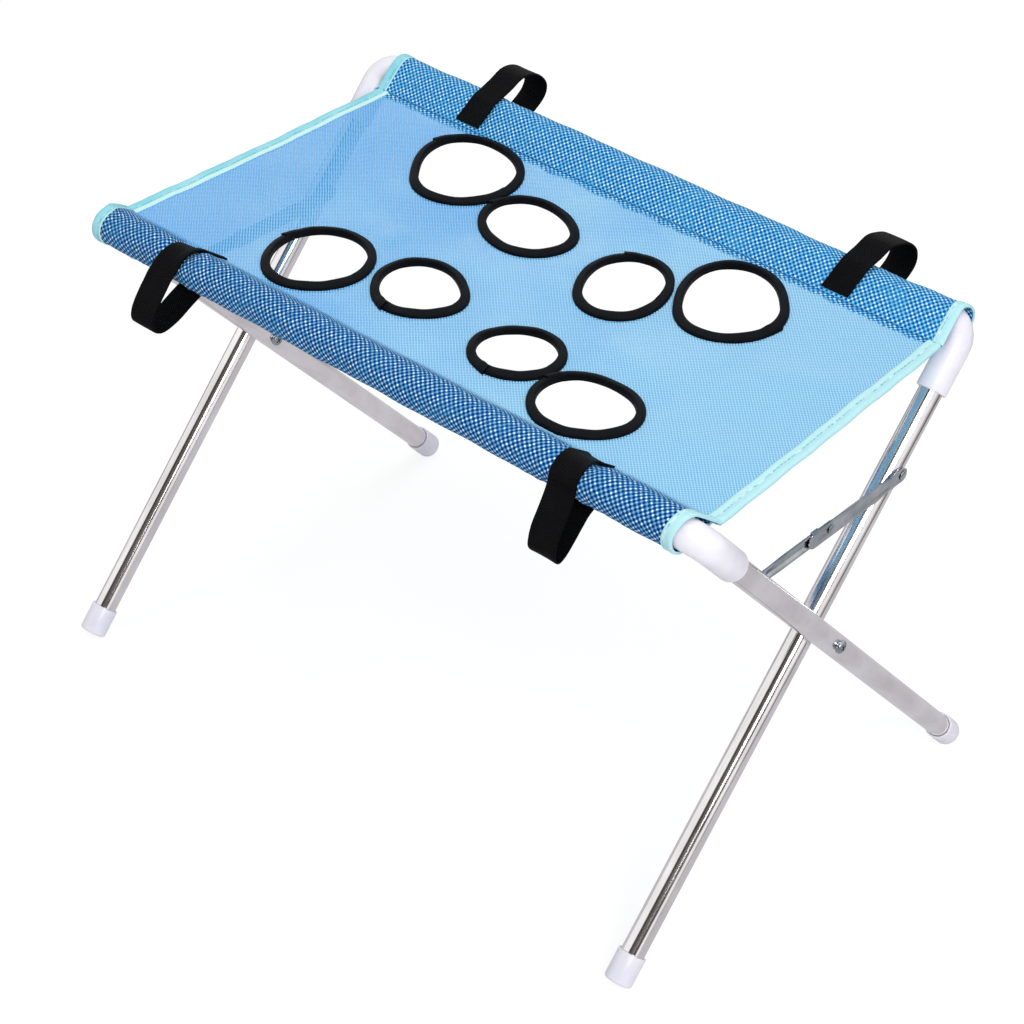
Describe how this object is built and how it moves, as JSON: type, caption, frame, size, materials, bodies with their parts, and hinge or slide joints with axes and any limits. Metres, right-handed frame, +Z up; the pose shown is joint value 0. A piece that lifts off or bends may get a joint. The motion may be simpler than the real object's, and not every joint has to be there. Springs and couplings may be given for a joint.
{
  "type": "folding pet grooming table",
  "caption": "Folding sling table for a small pet: blue mesh with taped leg holes between two crossed tube frames, with locking braces and webbing handles",
  "frame": {"origin": "on the floor under the middle of the table", "axes": "+X along the rails towards the right-hand end, +Y towards the far side, +Z up"},
  "size_m": [0.6483, 0.4404, 0.4465],
  "materials": {
    "polished_tube": "polished",
    "white_plastic": "satin",
    "zinc_steel": "satin",
    "blue_panel_mesh": "matte",
    "blue_sleeve_mesh": "matte",
    "cyan_binding": "matte",
    "black_tape": "matte",
    "black_webbing": "matte"
  },
  "bodies": {
    "far_frame": {"far_rail": "polished_tube", "far_sleeve": "blue_sleeve_mesh", "far_elbow_left": "white_plastic", "far_leg_left": "polished_tube", "far_foot_cap_left": "white_plastic", "far_leg_rivet_left": "zinc_steel", "far_handle_left": "black_webbing", "far_sleeve_binding_left": "cyan_binding", "far_elbow_right": "white_plastic", "far_leg_right": "polished_tube", "far_foot_cap_right": "white_plastic", "far_leg_rivet_right": "zinc_steel", "far_handle_right": "black_webbing", "far_sleeve_binding_right": "cyan_binding", "pivot_spacer_left": "zinc_steel", "pivot_spacer_right": "zinc_steel", "top_panel": "blue_panel_mesh", "edge_binding_left": "cyan_binding", "edge_binding_right": "cyan_binding", "hole_tape_far_left_inner": "black_tape", "hole_tape_far_left_outer": "black_tape", "hole_tape_far_right_inner": "black_tape", "hole_tape_far_right_outer": "black_tape", "hole_tape_near_left_inner": "black_tape", "hole_tape_near_left_outer": "black_tape", "hole_tape_near_right_inner": "black_tape", "hole_tape_near_right_outer": "black_tape"},
    "near_frame": {"near_rail": "polished_tube", "near_sleeve": "blue_sleeve_mesh", "near_elbow_left": "white_plastic", "near_leg_left": "polished_tube", "near_foot_cap_left": "white_plastic", "near_leg_rivet_left": "zinc_steel", "near_handle_left": "black_webbing", "near_sleeve_binding_left": "cyan_binding", "near_elbow_right": "white_plastic", "near_leg_right": "polished_tube", "near_foot_cap_right": "white_plastic", "near_leg_rivet_right": "zinc_steel", "near_handle_right": "black_webbing", "near_sleeve_binding_right": "cyan_binding", "pivot_screw_left": "zinc_steel", "pivot_screw_right": "zinc_steel", "pivot_nut_left": "zinc_steel", "pivot_nut_right": "zinc_steel"},
    "upper_link_left": {"upper_link_left": "zinc_steel", "upper_centre_rivet_left": "zinc_steel"},
    "lower_link_left": {"lower_link_left": "zinc_steel", "lower_centre_rivet_left": "zinc_steel"},
    "upper_link_right": {"upper_link_right": "zinc_steel", "upper_centre_rivet_right": "zinc_steel"},
    "lower_link_right": {"lower_link_right": "zinc_steel", "lower_centre_rivet_right": "zinc_steel"}
  },
  "joints": [
    {"name": "fold", "type": "hinge", "parent": "far_frame", "child": "near_frame", "pos_m": [0, 0, 0.22991], "axis": [-1, 0, 0], "range_deg": [0, 72.4], "deforming": ["top_panel", "edge_binding_left", "edge_binding_right", "hole_tape_far_left_inner", "hole_tape_far_left_outer", "hole_tape_far_right_inner", "hole_tape_far_right_outer", "hole_tape_near_left_inner", "hole_tape_near_left_outer", "hole_tape_near_right_inner", "hole_tape_near_right_outer"]},
    {"name": "upper_link_swing_left", "type": "hinge", "parent": "far_frame", "child": "upper_link_left", "pos_m": [-0.3, 0.09001, 0.32918], "axis": [-1, 0, 0], "range_deg": [0, 117.5]},
    {"name": "lower_link_swing_left", "type": "hinge", "parent": "near_frame", "child": "lower_link_left", "pos_m": [-0.3, -0.09001, 0.32918], "axis": [1, 0, 0], "range_deg": [0, 117.5]},
    {"name": "upper_link_swing_right", "type": "hinge", "parent": "far_frame", "child": "upper_link_right", "pos_m": [0.3, 0.09001, 0.32918], "axis": [-1, 0, 0], "range_deg": [0, 117.5]},
    {"name": "lower_link_swing_right", "type": "hinge", "parent": "near_frame", "child": "lower_link_right", "pos_m": [0.3, -0.09001, 0.32918], "axis": [1, 0, 0], "range_deg": [0, 117.5]}
  ],
  "couplings": [
    {"joint": "upper_link_swing_left", "follows": "fold", "ratio": 1.6194},
    {"joint": "lower_link_swing_left", "follows": "fold", "ratio": 1.6194},
    {"joint": "upper_link_swing_right", "follows": "fold", "ratio": 1.6194},
    {"joint": "lower_link_swing_right", "follows": "fold", "ratio": 1.6194}
  ]
}
